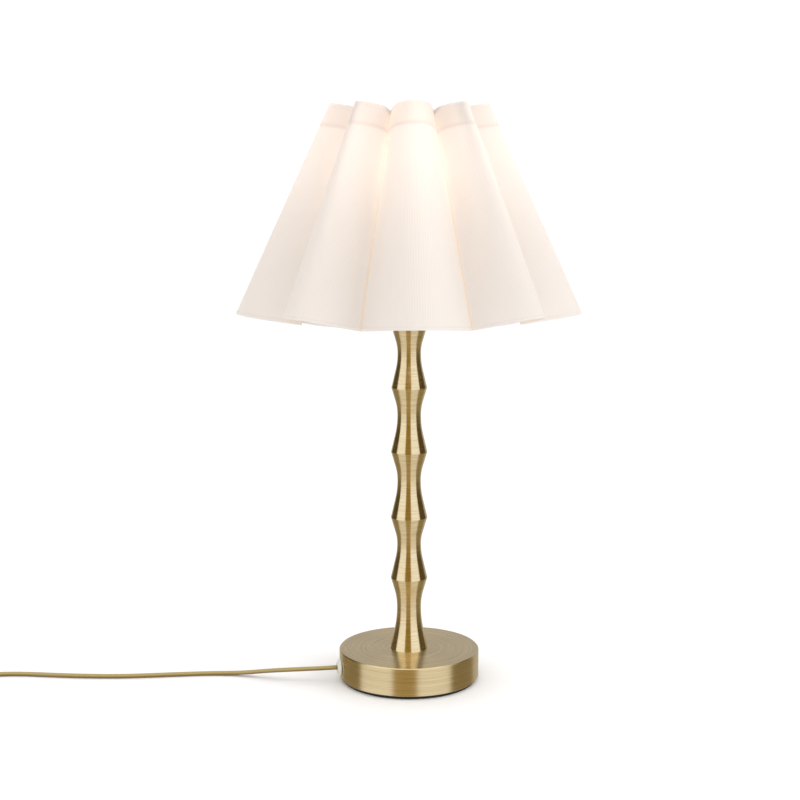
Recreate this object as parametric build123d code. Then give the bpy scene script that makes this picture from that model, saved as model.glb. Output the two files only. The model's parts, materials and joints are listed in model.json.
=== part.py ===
from build123d import *
import math
import os

# Table lamp: a weighted brass disc base, a column of five waisted brass spools on a
# hollow threaded tube, an E27 lampholder with its bulb, and a white shade of eight
# flutes on a wire carrier. A flat two-core cord leaves the base's left side, lies on
# the table, passes through an inline rocker switch, and ends in a coil and a plug.
# Millimetres. The origin is the middle of the base's underside, +Z up, front at -Y.

# --- driving dimensions ------------------------------------------------------------

# base
BASE_RADIUS = 62.5
BASE_TOP = 28.0
PAD_THICK = 3.0
PAD_INSET = 3.0
COVER_WALL = 1.2
COVER_EDGE = 0.8

# threaded tube (M10 lamp tube) and what clamps it
TUBE_RADIUS = 5.0
TUBE_BORE = 4.0
TUBE_FOOT = 11.5
TUBE_CLEARANCE = 0.2
NUT_FLATS = 14.0
NUT_THICK = 3.5
WASHER_RADIUS = 12.0
WASHER_THICK = 1.5
RECESS_RADIUS = 15.0
RECESS_CEILING = 17.5
CHANNEL_WIDTH = 18.0
CHANNEL_CEILING = 20.0

# cord clamp inside the channel: its distance from the middle, underside and screws
CLAMP_REACH = 42.0
CLAMP_SEAT = 13.6
CLAMP_THICK = 3.0
CLAMP_SPREAD = 6.2
CLAMP_SHANK = 1.3
CLAMP_HEAD_RADIUS = 2.2
CLAMP_HEAD_THICK = 1.8

# column, from the base upwards
SPOOL_LENGTHS = (64.7, 55.1, 59.0, 57.1, 53.7)
RIDGE_RADII = (16.95, 16.3, 16.15, 16.0, 15.65, 15.5)
NECK_RADII = (10.75, 10.6, 10.35, 10.4, 10.25)
LOWER_FLARE = 0.235
UPPER_FLARE = 0.295
SPIGOT_RADIUS = 8.0
SPIGOT_HEIGHT = 1.4
SPIGOT_PLAY = 0.2
COLUMN_TOP = BASE_TOP + sum(SPOOL_LENGTHS)

# lampholder (E27) heights above the column's top, and radii
CAP_HEIGHT = 28.0
CAP_RADIUS = 19.0
CAP_WALL = 1.8
SLEEVE_HEIGHT = 32.0
SLEEVE_RADIUS = 19.6
SLEEVE_WALL = 2.2
SHOULDER_RADIUS = 22.5
SHOULDER_THICK = 2.4
SLEEVE_THREADS = 9
THREAD_PITCH = 2.5
THREAD_DEPTH = 0.5
SHELL_BORE = 13.4
SHELL_WALL = 0.5
SHADE_RING_RADIUS = 26.5
FITTER_THICK = 1.8
CAP_TOP = COLUMN_TOP + CAP_HEIGHT
SLEEVE_TOP = CAP_TOP + SLEEVE_HEIGHT
INSERT_TOP = CAP_TOP + 6.0
FITTER_LOW = CAP_TOP + SHOULDER_THICK + 0.4

# bulb: E27 cap, its seat on the centre contact, cone-shaped housing and opal globe
BULB_CAP_RADIUS = 13.05
BULB_CAP_PITCH = 3.6
BULB_CAP_LENGTH = 24.5
BULB_TIP = 1.4
HOUSING_LENGTH = 27.0
BULB_SEAT = INSERT_TOP + 3.4
BULB_CAP_TOP = BULB_SEAT + BULB_TIP + BULB_CAP_LENGTH
HOUSING_TOP = BULB_CAP_TOP + HOUSING_LENGTH
GLOBE_RADIUS = 30.0
GLOBE_WALL = 1.0
HOUSING_TOP_RADIUS = 24.3
GLOBE_CENTRE = HOUSING_TOP + math.sqrt(GLOBE_RADIUS**2 - HOUSING_TOP_RADIUS**2)

# shade: heights above the table, radii of crests and valleys at the hem and the top
HEM_CREST_Z = BASE_TOP + 301.6
HEM_VALLEY_Z = BASE_TOP + 294.9
TOP_CREST_Z = BASE_TOP + 481.1
TOP_VALLEY_Z = BASE_TOP + 472.6
HEM_VALLEY_RADIUS = 101.9
TOP_VALLEY_RADIUS = 40.2
HEM_CREST_FRONT, HEM_CREST_DIAGONAL, HEM_CREST_SIDE = 146.2, 141.7, 150.8
TOP_CREST_FRONT, TOP_CREST_DIAGONAL, TOP_CREST_SIDE = 64.4, 62.3, 68.3
FLUTE_POWER = 1.45
FLUTE_STEPS = 14
SHADE_WALL = 0.9
VALLEY_WALL = 1.3
BAND_HEIGHT = 19.0
BAND_WALL = 0.5
BAND_GAP = 0.15
# the eight valleys, in degrees from the front, positive to the right; the shade is
# formed by hand, so its flutes differ a little
VALLEY_ANGLES = (-113.0, -64.7, -23.3, 29.9, 68.5, 113.0, 156.0, 203.0)
FLUTES = len(VALLEY_ANGLES)
# crest radii, flute by flute from the left side round the front: side, diagonal, front
HEM_CRESTS = (HEM_CREST_SIDE, HEM_CREST_DIAGONAL, HEM_CREST_FRONT, HEM_CREST_DIAGONAL) * 2
TOP_CRESTS = (TOP_CREST_SIDE, TOP_CREST_DIAGONAL, TOP_CREST_FRONT, TOP_CREST_DIAGONAL) * 2
WIRE_RADIUS = 1.5
WIRE_GAP = 0.15
TOP_RING_DROP = 4.0
BOTTOM_RING_RISE = 3.0
VALLEY_SLOPE = (HEM_VALLEY_RADIUS - TOP_VALLEY_RADIUS) / (TOP_VALLEY_Z - HEM_VALLEY_Z)
BAND_DEPTH = VALLEY_WALL * (1 + (BAND_GAP + BAND_WALL) / SHADE_WALL)
WIRE_INSET = WIRE_RADIUS + WIRE_GAP
TOP_RING_RADIUS = TOP_VALLEY_RADIUS + VALLEY_SLOPE * TOP_RING_DROP - BAND_DEPTH - WIRE_INSET
BOTTOM_RING_RADIUS = HEM_VALLEY_RADIUS - VALLEY_SLOPE * BOTTOM_RING_RISE - VALLEY_WALL - WIRE_INSET
TOP_RING_Z = TOP_VALLEY_Z - TOP_RING_DROP
FITTER_RADIUS = 31.0
FITTER_PLAY = 0.8
CARRIER_LEG_ANGLES = (45.0, 135.0, 225.0, 315.0)

# cord: flat two-core, gold-tinted transparent plastic
CORD_WIDTH = 5.4
CORD_THICK = 3.2
CORD_FIT = 0.1
EXIT_ANGLE = 191.0
EXIT_HEIGHT = 13.0
EXIT_REACH = 65.5
GROMMET_FLANGE = 7.8
GROMMET_STEM = 4.9
# switch and coil, beyond the left end of the laid cord
SWITCH_X = -407.0
SWITCH_START_Y = -50.0
SWITCH_LENGTH = 60.0
SWITCH_Y = SWITCH_START_Y - SWITCH_LENGTH / 2
SWITCH_WIDTH = 26.0
SWITCH_HEIGHT = 17.0
SWITCH_SPLIT = 8.5
SWITCH_WALL = 1.6
SWITCH_PORT_Z = 7.0
ROCKER_LENGTH = 17.0
ROCKER_WIDTH = 9.0
ROCKER_PLAY = 0.5
ROCKER_TILT = 8.0
ROCKER_PIVOT_Z = 13.0
PIVOT_RADIUS = 1.2
PIVOT_PLAY = 0.05
COIL_X, COIL_Y = -432.0, 52.0
COIL_OUTER_TURN = 36.0
COIL_INNER_TURN = 24.0
COIL_HEIGHT = 7.2
# plug (flat two-pin, 4 mm pins)
PLUG_X, PLUG_Y = -468.0, 97.0
PLUG_LENGTH = 36.0
PLUG_WIDTH = 26.0
PLUG_PIN_PITCH = 18.6
PLUG_PIN_RADIUS = 2.0
PLUG_PIN_LENGTH = 19.0
PLUG_COLLAR_RADIUS = 1.9
PLUG_COLLAR_LENGTH = 10.0
PLUG_AXIS_Z = 6.8

# the laid cord's route: base to switch, switch to coil, coil to plug
EXIT_DIRECTION = Vector(1, 0, 0).rotate(Axis.Z, EXIT_ANGLE)
EXIT_POINT = EXIT_DIRECTION * EXIT_REACH + Vector(0, 0, EXIT_HEIGHT)
EXIT_RUN = EXIT_DIRECTION * (EXIT_REACH + 13.0) + Vector(0, 0, EXIT_HEIGHT)
ROUTE_TO_SWITCH = [
    (EXIT_POINT.X, EXIT_POINT.Y, EXIT_POINT.Z),
    (EXIT_RUN.X, EXIT_RUN.Y, EXIT_RUN.Z),
    (-99.0, -13.5, 11.6),
    (-126.0, -5.5, 7.6),
    (-152.0, 3.6, 2.4),
    (-180.0, 5.2, 1.7),
    (-218.0, 0.8, 1.8),
    (-262.0, -4.0, 1.7),
    (-308.0, -2.0, 1.8),
    (-352.0, 4.0, 1.7),
    (-384.0, 1.0, 1.8),
    (-402.0, -13.0, 2.2),
    (-407.0, -33.0, 6.2),
    (SWITCH_X, SWITCH_START_Y, SWITCH_PORT_Z),
]
ROUTE_TO_COIL = [
    (SWITCH_X, SWITCH_START_Y - SWITCH_LENGTH, SWITCH_PORT_Z),
    (-407.0, -126.0, 6.4),
    (-412.5, -143.0, 4.2),
    (-429.0, -155.5, 1.9),
    (-450.0, -156.0, 1.7),
    (-467.0, -144.0, 1.8),
    (-473.0, -124.5, 1.7),
    (-471.0, -92.0, 1.8),
    (-467.5, -54.0, 1.7),
    (-469.5, -16.0, 1.8),
    (-468.4, 11.0, 1.7),
    (-468.0, 36.0, 1.7),
]
ROUTE_TO_PLUG = [
    (-468.0, 67.0, 5.0),
    (-469.0, 76.0, 5.7),
    (PLUG_X, PLUG_Y - 10.0, PLUG_AXIS_Z),
    (PLUG_X, PLUG_Y, PLUG_AXIS_Z),
]


# --- helpers -----------------------------------------------------------------------


def turned(points):
    """A solid of revolution about Z from (radius, height) corners."""
    outline = Polyline(*[(r, 0, z) for r, z in points], close=True)
    return revolve(make_face(outline), axis=Axis.Z)


def disc(radius, low, high):
    return Pos(0, 0, low) * extrude(Circle(radius), high - low)


def tube(outer, inner, low, high):
    return Pos(0, 0, low) * extrude(Circle(outer) - Circle(inner), high - low)


def block(center, size):
    return Pos(*center) * Box(*size)


def rod(start, direction, radius, length):
    """A plain round rod from a point along a direction."""
    return extrude(Plane(origin=start, z_dir=direction) * Circle(radius), length)


def arc_radii(points):
    """The largest arcs that the runs of a route allow, one for each inner corner."""
    vectors = [Vector(*p) for p in points]
    radii = []
    for before, corner, after in zip(vectors, vectors[1:], vectors[2:]):
        first, second = corner - before, after - corner
        turn = math.radians(first.get_angle(second))
        shorter = min(first.length, second.length)
        radii.append(0.45 * shorter / math.tan(turn / 2))
    return radii


def cord_piece(points, name):
    """The flat cord along straight runs joined by tangent arcs, wide side level."""
    radii = arc_radii(points)
    path = FilletPolyline(*points, radius=radii)
    start = path.position_at(0)
    along = path.tangent_at(0)
    across = Vector(0, 0, 1).cross(along)
    section = Plane(origin=start, x_dir=across, z_dir=along) * SlotOverall(CORD_WIDTH, CORD_THICK)
    solid = sweep(section, path=path)
    share = solid.volume / (section.area * path.length)
    print(f"{name}: length {path.length:.1f}, least radius {min(radii):.1f}, volume share {share:.3f}")
    return solid


def group(pieces):
    """Separate solids kept in one node."""
    return Part() + pieces


def wire(points, radii, wire_radius=WIRE_RADIUS):
    """A round wire along straight runs joined by arcs."""
    path = FilletPolyline(*points, radius=radii)
    section = Plane(origin=path.position_at(0), z_dir=path.tangent_at(0)) * Circle(wire_radius)
    return sweep(section, path=path)


def wire_hoop(radius, height):
    return Pos(0, 0, height) * Torus(radius, WIRE_RADIUS)


def largest(shape):
    """The biggest solid of a cut shape, without the slivers beyond the cut."""
    return max(shape.solids(), key=lambda solid: solid.volume)


# --- base --------------------------------------------------------------------------


def base_pad():
    return disc(BASE_RADIUS - PAD_INSET, 0, PAD_THICK)


def base_cover():
    inner = BASE_RADIUS - COVER_WALL
    ceiling = BASE_TOP - COVER_WALL
    hole = TUBE_RADIUS + TUBE_CLEARANCE
    shell = turned([
        (hole, ceiling),
        (inner, ceiling),
        (inner, PAD_THICK),
        (BASE_RADIUS - COVER_EDGE / 2, PAD_THICK),
        (BASE_RADIUS, PAD_THICK + COVER_EDGE / 2),
        (BASE_RADIUS, BASE_TOP - COVER_EDGE),
        (BASE_RADIUS - COVER_EDGE, BASE_TOP),
        (hole, BASE_TOP),
    ])
    mouth = EXIT_DIRECTION * (inner - 5) + Vector(0, 0, EXIT_HEIGHT)
    return shell - rod(mouth, EXIT_DIRECTION, GROMMET_STEM + CORD_FIT, 10)


def base_weight():
    radius = BASE_RADIUS - COVER_WALL - 0.8
    body = disc(radius, PAD_THICK, BASE_TOP - COVER_WALL)
    body -= disc(TUBE_RADIUS + TUBE_CLEARANCE, 0, BASE_TOP)
    body -= disc(RECESS_RADIUS, 0, RECESS_CEILING)
    channel = block((radius / 2, 0, CHANNEL_CEILING / 2), (radius + 2, CHANNEL_WIDTH, CHANNEL_CEILING))
    return body - Rot(0, 0, EXIT_ANGLE) * channel


def base_washer():
    hole = TUBE_RADIUS + TUBE_CLEARANCE
    return tube(WASHER_RADIUS, hole, RECESS_CEILING - WASHER_THICK, RECESS_CEILING)


def base_nut():
    foot = RECESS_CEILING - WASHER_THICK - NUT_THICK
    hexagon = RegularPolygon(NUT_FLATS / 2, 6, major_radius=False) - Circle(TUBE_RADIUS + 0.05)
    return Pos(0, 0, foot) * extrude(hexagon, NUT_THICK)


def threaded_tube():
    return tube(TUBE_RADIUS, TUBE_BORE, TUBE_FOOT, COLUMN_TOP + 11.0)


def cord_grommet():
    """A domed bushing pushed into the cover's side, with a slot for the flat cord."""
    inside = BASE_RADIUS - COVER_WALL - 3.0
    axis_plane = Plane(
        origin=EXIT_DIRECTION * inside + Vector(0, 0, EXIT_HEIGHT),
        x_dir=Vector(0, 0, 1).cross(EXIT_DIRECTION),
        z_dir=EXIT_DIRECTION,
    )
    seat = BASE_RADIUS - inside
    rim = EXIT_REACH - inside
    outline = Polyline(
        (0, 0, 0), (GROMMET_STEM, 0, 0), (GROMMET_STEM, 0, seat), (GROMMET_FLANGE, 0, seat),
        (GROMMET_FLANGE, 0, seat + 0.9), (GROMMET_FLANGE - 1.2, 0, seat + 1.9),
        (GROMMET_STEM, 0, rim), (0, 0, rim), close=True,
    )
    body = revolve(make_face(outline), axis=Axis.Z)
    slot = extrude(SlotOverall(CORD_WIDTH + 2 * CORD_FIT, CORD_THICK + 2 * CORD_FIT), rim)
    placed = axis_plane.location * (body - slot)
    # the flange's back is hollowed to the cover's cylinder, and the stem runs through
    flange = placed - disc(BASE_RADIUS, 0, BASE_TOP)
    stem = placed & rod(axis_plane.origin, EXIT_DIRECTION, GROMMET_STEM, seat + 1.5)
    return flange + stem


def cord_clamp():
    """A saddle on two posts that holds the cord down inside the base's channel."""
    post_foot = CLAMP_SEAT + CLAMP_THICK
    post_middle = (post_foot + CHANNEL_CEILING) / 2
    body = block((CLAMP_REACH, 0, CLAMP_SEAT + CLAMP_THICK / 2), (7, CHANNEL_WIDTH - 1, CLAMP_THICK))
    for side in (-1, 1):
        body += block((CLAMP_REACH, side * CLAMP_SPREAD, post_middle), (6, 4.6, CHANNEL_CEILING - post_foot))
        body -= Pos(CLAMP_REACH, side * CLAMP_SPREAD, 0) * disc(CLAMP_SHANK + 0.05, CLAMP_SEAT, CHANNEL_CEILING)
    return Rot(0, 0, EXIT_ANGLE) * body


def clamp_screws():
    head_foot = CLAMP_SEAT - CLAMP_HEAD_THICK
    screw = disc(CLAMP_HEAD_RADIUS, head_foot, CLAMP_SEAT) + disc(CLAMP_SHANK, CLAMP_SEAT, CHANNEL_CEILING)
    screw -= block((0, 0, head_foot), (3.4, 0.6, 1.0))
    spots = [Rot(0, 0, EXIT_ANGLE) * Pos(CLAMP_REACH, side * CLAMP_SPREAD, 0) for side in (-1, 1)]
    return group([spot * screw for spot in spots])


def cord_inner():
    """The cord from the grommet through the channel and up the threaded tube."""
    def at(reach, height):
        point = EXIT_DIRECTION * reach
        return (point.X, point.Y, height)
    points = [
        at(EXIT_REACH, EXIT_HEIGHT), at(53, EXIT_HEIGHT), at(26, 7.6), at(14, 5.4), at(0, 5.4), at(0, COLUMN_TOP + 12),
    ]
    path = FilletPolyline(*points, radius=[30, 30, 20, 6])
    along = path.tangent_at(0)
    across = Vector(0, 0, 1).cross(along)
    section = Plane(origin=path.position_at(0), x_dir=across, z_dir=along) * SlotOverall(CORD_WIDTH, CORD_THICK)
    return sweep(section, path=path)


# --- column ------------------------------------------------------------------------


def column_spool(index):
    """A waisted spool: two straight flares joined by rounded curves at the neck."""
    foot = BASE_TOP + sum(SPOOL_LENGTHS[:index])
    length = SPOOL_LENGTHS[index]
    low, high = RIDGE_RADII[index], RIDGE_RADII[index + 1]
    neck = NECK_RADII[index]
    rise = (low - neck) / LOWER_FLARE
    fall = (high - neck) / UPPER_FLARE
    middle = length - rise - fall
    split = rise / (rise + fall)
    radii = [
        0.95 * middle * split / math.tan(math.atan(LOWER_FLARE) / 2),
        0.95 * middle * (1 - split) / math.tan(math.atan(UPPER_FLARE) / 2),
    ]
    side = FilletPolyline(
        (low, 0, foot), (neck, 0, foot + rise), (neck, 0, foot + length - fall), (high, 0, foot + length),
        radius=radii,
    )
    bore = TUBE_RADIUS + TUBE_CLEARANCE
    recess = SPIGOT_RADIUS + SPIGOT_PLAY
    top = foot + length
    rest = Polyline(
        (high, 0, top), (SPIGOT_RADIUS, 0, top), (SPIGOT_RADIUS, 0, top + SPIGOT_HEIGHT),
        (bore, 0, top + SPIGOT_HEIGHT), (bore, 0, foot + SPIGOT_HEIGHT + SPIGOT_PLAY),
        (recess, 0, foot + SPIGOT_HEIGHT + SPIGOT_PLAY), (recess, 0, foot), (low, 0, foot),
    )
    return revolve(make_face(side.edges() + rest.edges()), axis=Axis.Z)


# --- lampholder and bulb -----------------------------------------------------------


def holder_cap():
    floor = COLUMN_TOP + 6.0
    bore = TUBE_RADIUS + 0.1
    recess = SPIGOT_RADIUS + SPIGOT_PLAY
    step = COLUMN_TOP + SPIGOT_HEIGHT + SPIGOT_PLAY
    return turned([
        (recess, COLUMN_TOP),
        (13.0, COLUMN_TOP),
        (16.5, COLUMN_TOP + 2.5),
        (CAP_RADIUS - 0.6, COLUMN_TOP + 8.0),
        (CAP_RADIUS, COLUMN_TOP + 13.0),
        (CAP_RADIUS, CAP_TOP),
        (CAP_RADIUS - CAP_WALL, CAP_TOP),
        (CAP_RADIUS - CAP_WALL, floor + 6.0),
        (14.0, floor),
        (bore, floor),
        (bore, step),
        (recess, step),
    ])


def holder_insert():
    return tube(CAP_RADIUS - CAP_WALL - 0.3, 3.4, CAP_TOP - 8.0, INSERT_TOP)


def terminal_screws():
    """Two brass terminals under the insert, each with its clamping screw's head."""
    across = Vector(0, 0, 1).cross(EXIT_DIRECTION)
    pieces = []
    for side in (-1, 1):
        spot = across * (side * 9.0)
        pieces.append(block((spot.X, spot.Y, CAP_TOP - 10.5), (5, 5, 5)))
    return group(pieces)


def holder_wires():
    """The two cores, from the end of the flat cord to the terminals."""
    across = Vector(0, 0, 1).cross(EXIT_DIRECTION)
    start = COLUMN_TOP + 12.0
    wires = []
    for side in (-1, 1):
        spots = [(1.3, start), (1.3, start + 2.0), (9.0, start + 1.2), (9.0, CAP_TOP - 13.0)]
        points = [((across * side * r).X, (across * side * r).Y, z) for r, z in spots]
        wires.append(wire(points, [1.2, 1.2], 0.9))
    return group(wires)


def holder_sleeve():
    """The outer sleeve: shoulder for the shade below, coarse thread above it."""
    inner = SLEEVE_RADIUS - SLEEVE_WALL
    root = SLEEVE_RADIUS - THREAD_DEPTH
    outline = [
        (inner, CAP_TOP),
        (SHOULDER_RADIUS, CAP_TOP),
        (SHOULDER_RADIUS, CAP_TOP + SHOULDER_THICK),
        (root, CAP_TOP + SHOULDER_THICK),
    ]
    first = CAP_TOP + SHOULDER_THICK + 3.0
    for turn in range(SLEEVE_THREADS):
        foot = first + turn * THREAD_PITCH
        outline += [(root, foot), (SLEEVE_RADIUS, foot + 0.7), (SLEEVE_RADIUS, foot + 1.3), (root, foot + 2.0)]
    outline += [
        (root, SLEEVE_TOP - 1.0),
        (root - 1.0, SLEEVE_TOP),
        (SHELL_BORE + 0.8, SLEEVE_TOP),
        (SHELL_BORE + 0.8, SLEEVE_TOP - 1.6),
        (inner, SLEEVE_TOP - 1.6),
    ]
    return turned(outline)


def contact_shell():
    return tube(SHELL_BORE + SHELL_WALL, SHELL_BORE, INSERT_TOP, SLEEVE_TOP - 2.0)


def centre_contact():
    """A bent brass leaf that presses on the bulb's tip."""
    foot = block((4.5, 0, INSERT_TOP + 0.3), (7, 5, 0.6))
    leaf = Pos(0.8, 0, INSERT_TOP + 1.4) * Rot(0, 12, 0) * Box(9.5, 4.5, 0.5)
    return foot + leaf


def shade_ring():
    """The ring nut that clamps the shade's fitter ring on the sleeve."""
    low = FITTER_LOW + FITTER_THICK + 0.4
    body = turned([
        (SLEEVE_RADIUS + 0.3, low),
        (SHADE_RING_RADIUS, low),
        (SHADE_RING_RADIUS, low + 1.6),
        (23.2, low + 2.4),
        (23.2, low + 8.6),
        (22.6, low + 9.2),
        (SLEEVE_RADIUS + 0.3, low + 9.2),
    ])
    groove = Pos(0, 0, low + 2.6) * extrude(Circle(0.8), 7.0)
    return body - PolarLocations(23.6, 24) * groove


def bulb_cap():
    crest, root = BULB_CAP_RADIUS, BULB_CAP_RADIUS - 0.7
    low = BULB_SEAT + BULB_TIP
    outline = [(0, low), (9.0, low), (root, low + 2.6)]
    for turn in range(5):
        foot = low + 3.0 + turn * BULB_CAP_PITCH
        outline += [(root, foot), (crest, foot + 1.2), (crest, foot + 1.8), (root, foot + 3.0)]
    outline += [(crest, BULB_CAP_TOP - 2.6), (crest, BULB_CAP_TOP), (0, BULB_CAP_TOP)]
    return turned(outline)


def bulb_contact():
    return turned([
        (0, BULB_SEAT), (4.0, BULB_SEAT), (4.8, BULB_SEAT + 0.5),
        (8.4, BULB_SEAT + BULB_TIP), (0, BULB_SEAT + BULB_TIP),
    ])


def bulb_housing():
    side = FilletPolyline(
        (BULB_CAP_RADIUS + 0.8, 0, BULB_CAP_TOP),
        (BULB_CAP_RADIUS + 0.8, 0, BULB_CAP_TOP + 5.0),
        (HOUSING_TOP_RADIUS, 0, HOUSING_TOP),
        radius=[14],
    )
    rest = Polyline(
        (HOUSING_TOP_RADIUS, 0, HOUSING_TOP), (0, 0, HOUSING_TOP), (0, 0, BULB_CAP_TOP),
        (BULB_CAP_RADIUS + 0.8, 0, BULB_CAP_TOP),
    )
    return revolve(make_face(side.edges() + rest.edges()), axis=Axis.Z)


def led_board():
    return disc(19.0, HOUSING_TOP, HOUSING_TOP + 1.6)


def bulb_globe():
    """The opal globe: a thin spherical shell, open where it meets the housing."""
    shell = Sphere(GLOBE_RADIUS) - Sphere(GLOBE_RADIUS - GLOBE_WALL)
    keep = disc(GLOBE_RADIUS + 1, HOUSING_TOP, HOUSING_TOP + 3 * GLOBE_RADIUS)
    return (Pos(0, 0, GLOBE_CENTRE) * shell) & keep


# --- shade -------------------------------------------------------------------------


def flute_point(flute, step, inward, up):
    """A point of a flute: step 0..1 from valley to valley, up 0 at the hem, 1 at the top."""
    start = VALLEY_ANGLES[flute]
    end = VALLEY_ANGLES[(flute + 1) % FLUTES]
    if end < start:
        end += 360
    angle = math.radians(start + (end - start) * step)
    bulge = math.sin(math.pi * step) ** FLUTE_POWER if 0 < step < 1 else 0.0
    crest_thin, valley_thin = inward * SHADE_WALL, inward * VALLEY_WALL

    def ring(valley_radius, crest_radius, valley_z, crest_z):
        valley, crest = valley_radius - valley_thin, crest_radius - crest_thin
        radius = valley + (crest - valley) * bulge
        height = valley_z + (crest_z - valley_z) * bulge
        return Vector(radius * math.sin(angle), -radius * math.cos(angle), height)

    hem = ring(HEM_VALLEY_RADIUS, HEM_CRESTS[flute], HEM_VALLEY_Z, HEM_CREST_Z)
    top = ring(TOP_VALLEY_RADIUS, TOP_CRESTS[flute], TOP_VALLEY_Z, TOP_CREST_Z)
    return hem + (top - hem) * up


def flute_edge(flute, inward, up):
    # the steps crowd towards the valleys, where the sheet bends most
    steps = [0.5 - 0.5 * math.cos(math.pi * k / FLUTE_STEPS) for k in range(FLUTE_STEPS + 1)]
    return Edge.make_spline([flute_point(flute, s, inward, up) for s in steps])


def fluted_wall(outer, inner, low, high):
    """A closed wall between two depths of the sheet and two heights along its slope."""
    faces = []
    for flute in range(FLUTES):
        out_low, out_high = flute_edge(flute, outer, low), flute_edge(flute, outer, high)
        in_low, in_high = flute_edge(flute, inner, low), flute_edge(flute, inner, high)
        faces.append(Face.make_surface_from_curves(out_low, out_high))
        faces.append(Face.make_surface_from_curves(in_low, in_high))
        faces.append(Face.make_surface_from_curves(out_low, in_low))
        faces.append(Face.make_surface_from_curves(out_high, in_high))
    return Solid(Shell(faces))


def shade_sheet():
    return fluted_wall(0, 1, 0, 1)


def shade_top_band():
    slope = (flute_point(2, 0.5, 0, 1) - flute_point(2, 0.5, 0, 0)).length
    depth = BAND_GAP / SHADE_WALL
    return fluted_wall(1 + depth, 1 + depth + BAND_WALL / SHADE_WALL, 1 - BAND_HEIGHT / slope, 0.998)


def shade_fitter():
    """The flat ring that sits on the lampholder's shoulder."""
    return tube(FITTER_RADIUS, SLEEVE_RADIUS + FITTER_PLAY, FITTER_LOW, FITTER_LOW + FITTER_THICK)


def shade_top_ring():
    return wire_hoop(TOP_RING_RADIUS, TOP_RING_Z)


def shade_legs():
    """Four bent wires, welded to the fitter ring's edge and under the top ring."""
    foot_z = FITTER_LOW + FITTER_THICK / 2
    spots = [(FITTER_RADIUS - 1.4, foot_z), (TOP_RING_RADIUS, foot_z + 14.0), (TOP_RING_RADIUS, TOP_RING_Z)]
    leg = wire([(r, 0, z) for r, z in spots], [12])
    leg -= shade_fitter()
    leg -= shade_top_ring()
    return group([Rot(0, 0, angle) * largest(leg) for angle in CARRIER_LEG_ANGLES])


def shade_bottom_ring():
    return wire_hoop(BOTTOM_RING_RADIUS, HEM_VALLEY_Z + BOTTOM_RING_RISE)


# --- cord, coil --------------------------------------------------------------------


def cord_coil():
    """The outer shape of the coil: a ring with rounded edges."""
    half = CORD_WIDTH / 2 + 0.6
    body = Pos(COIL_X, COIL_Y, 0) * tube(COIL_OUTER_TURN + half, COIL_INNER_TURN - half, 0, COIL_HEIGHT)
    return fillet(body.edges(), 2.0)


# --- inline switch, lying along Y --------------------------------------------------


def switch_blank(inset, low, high):
    return Pos(SWITCH_X, SWITCH_Y, low) * extrude(
        RectangleRounded(SWITCH_WIDTH - 2 * inset, SWITCH_LENGTH - 2 * inset, 7.0 - inset), high - low)


def cord_ports():
    port = SlotOverall(CORD_WIDTH + 2 * CORD_FIT, CORD_THICK + 2 * CORD_FIT)
    plane = Plane(origin=(SWITCH_X, SWITCH_Y, SWITCH_PORT_Z), x_dir=(1, 0, 0), z_dir=(0, 1, 0))
    return extrude(plane * port, SWITCH_LENGTH, both=True)


def switch_screw_spots():
    return [(SWITCH_X + sx * 8.2, SWITCH_Y + sy * 21.0) for sx, sy in ((1, 1), (-1, -1))]


def switch_base():
    shell = switch_blank(0, 0, SWITCH_SPLIT) - switch_blank(SWITCH_WALL, SWITCH_WALL, SWITCH_SPLIT)
    bottom_edges = shell.edges().group_by(Axis.Z)[0]
    shell = fillet(bottom_edges, 1.2)
    for x, y in switch_screw_spots():
        shell += Pos(x, y, SWITCH_WALL) * extrude(Circle(2.8), SWITCH_SPLIT - SWITCH_WALL)
        shell -= Pos(x, y, 0) * extrude(Circle(1.3), SWITCH_SPLIT)
        shell -= Pos(x, y, 0) * extrude(Circle(2.6), 2.0)
    return shell - cord_ports()


def switch_cover():
    """The upper shell, with the rocker's window, ribs for its pivots and grip lines."""
    ceiling = SWITCH_HEIGHT - SWITCH_WALL
    shell = switch_blank(0, SWITCH_SPLIT, SWITCH_HEIGHT)
    shell = fillet(shell.edges().group_by(Axis.Z)[-1], 3.0)
    shell -= switch_blank(SWITCH_WALL, SWITCH_SPLIT, ceiling)
    window = (ROCKER_WIDTH + 2 * ROCKER_PLAY, ROCKER_LENGTH + 2 * ROCKER_PLAY + 1.0, 20)
    for side in (-1, 1):
        x = SWITCH_X + side * (window[0] / 2 + 1.2)
        shell += block((x, SWITCH_Y, (SWITCH_SPLIT + ceiling) / 2 + 1.0), (2.4, 8, ceiling - SWITCH_SPLIT))
    shell -= block((SWITCH_X, SWITCH_Y, SWITCH_HEIGHT), window)
    shell -= rod((SWITCH_X - 7.6, SWITCH_Y, ROCKER_PIVOT_Z), (1, 0, 0), PIVOT_RADIUS + PIVOT_PLAY, 15.2)
    for end in (-1, 1):
        for line in range(4):
            y = SWITCH_Y + end * (19.0 + 2.2 * line)
            shell -= block((SWITCH_X, y, SWITCH_HEIGHT), (15.0, 0.9, 1.0))
    return shell - cord_ports()


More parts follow.
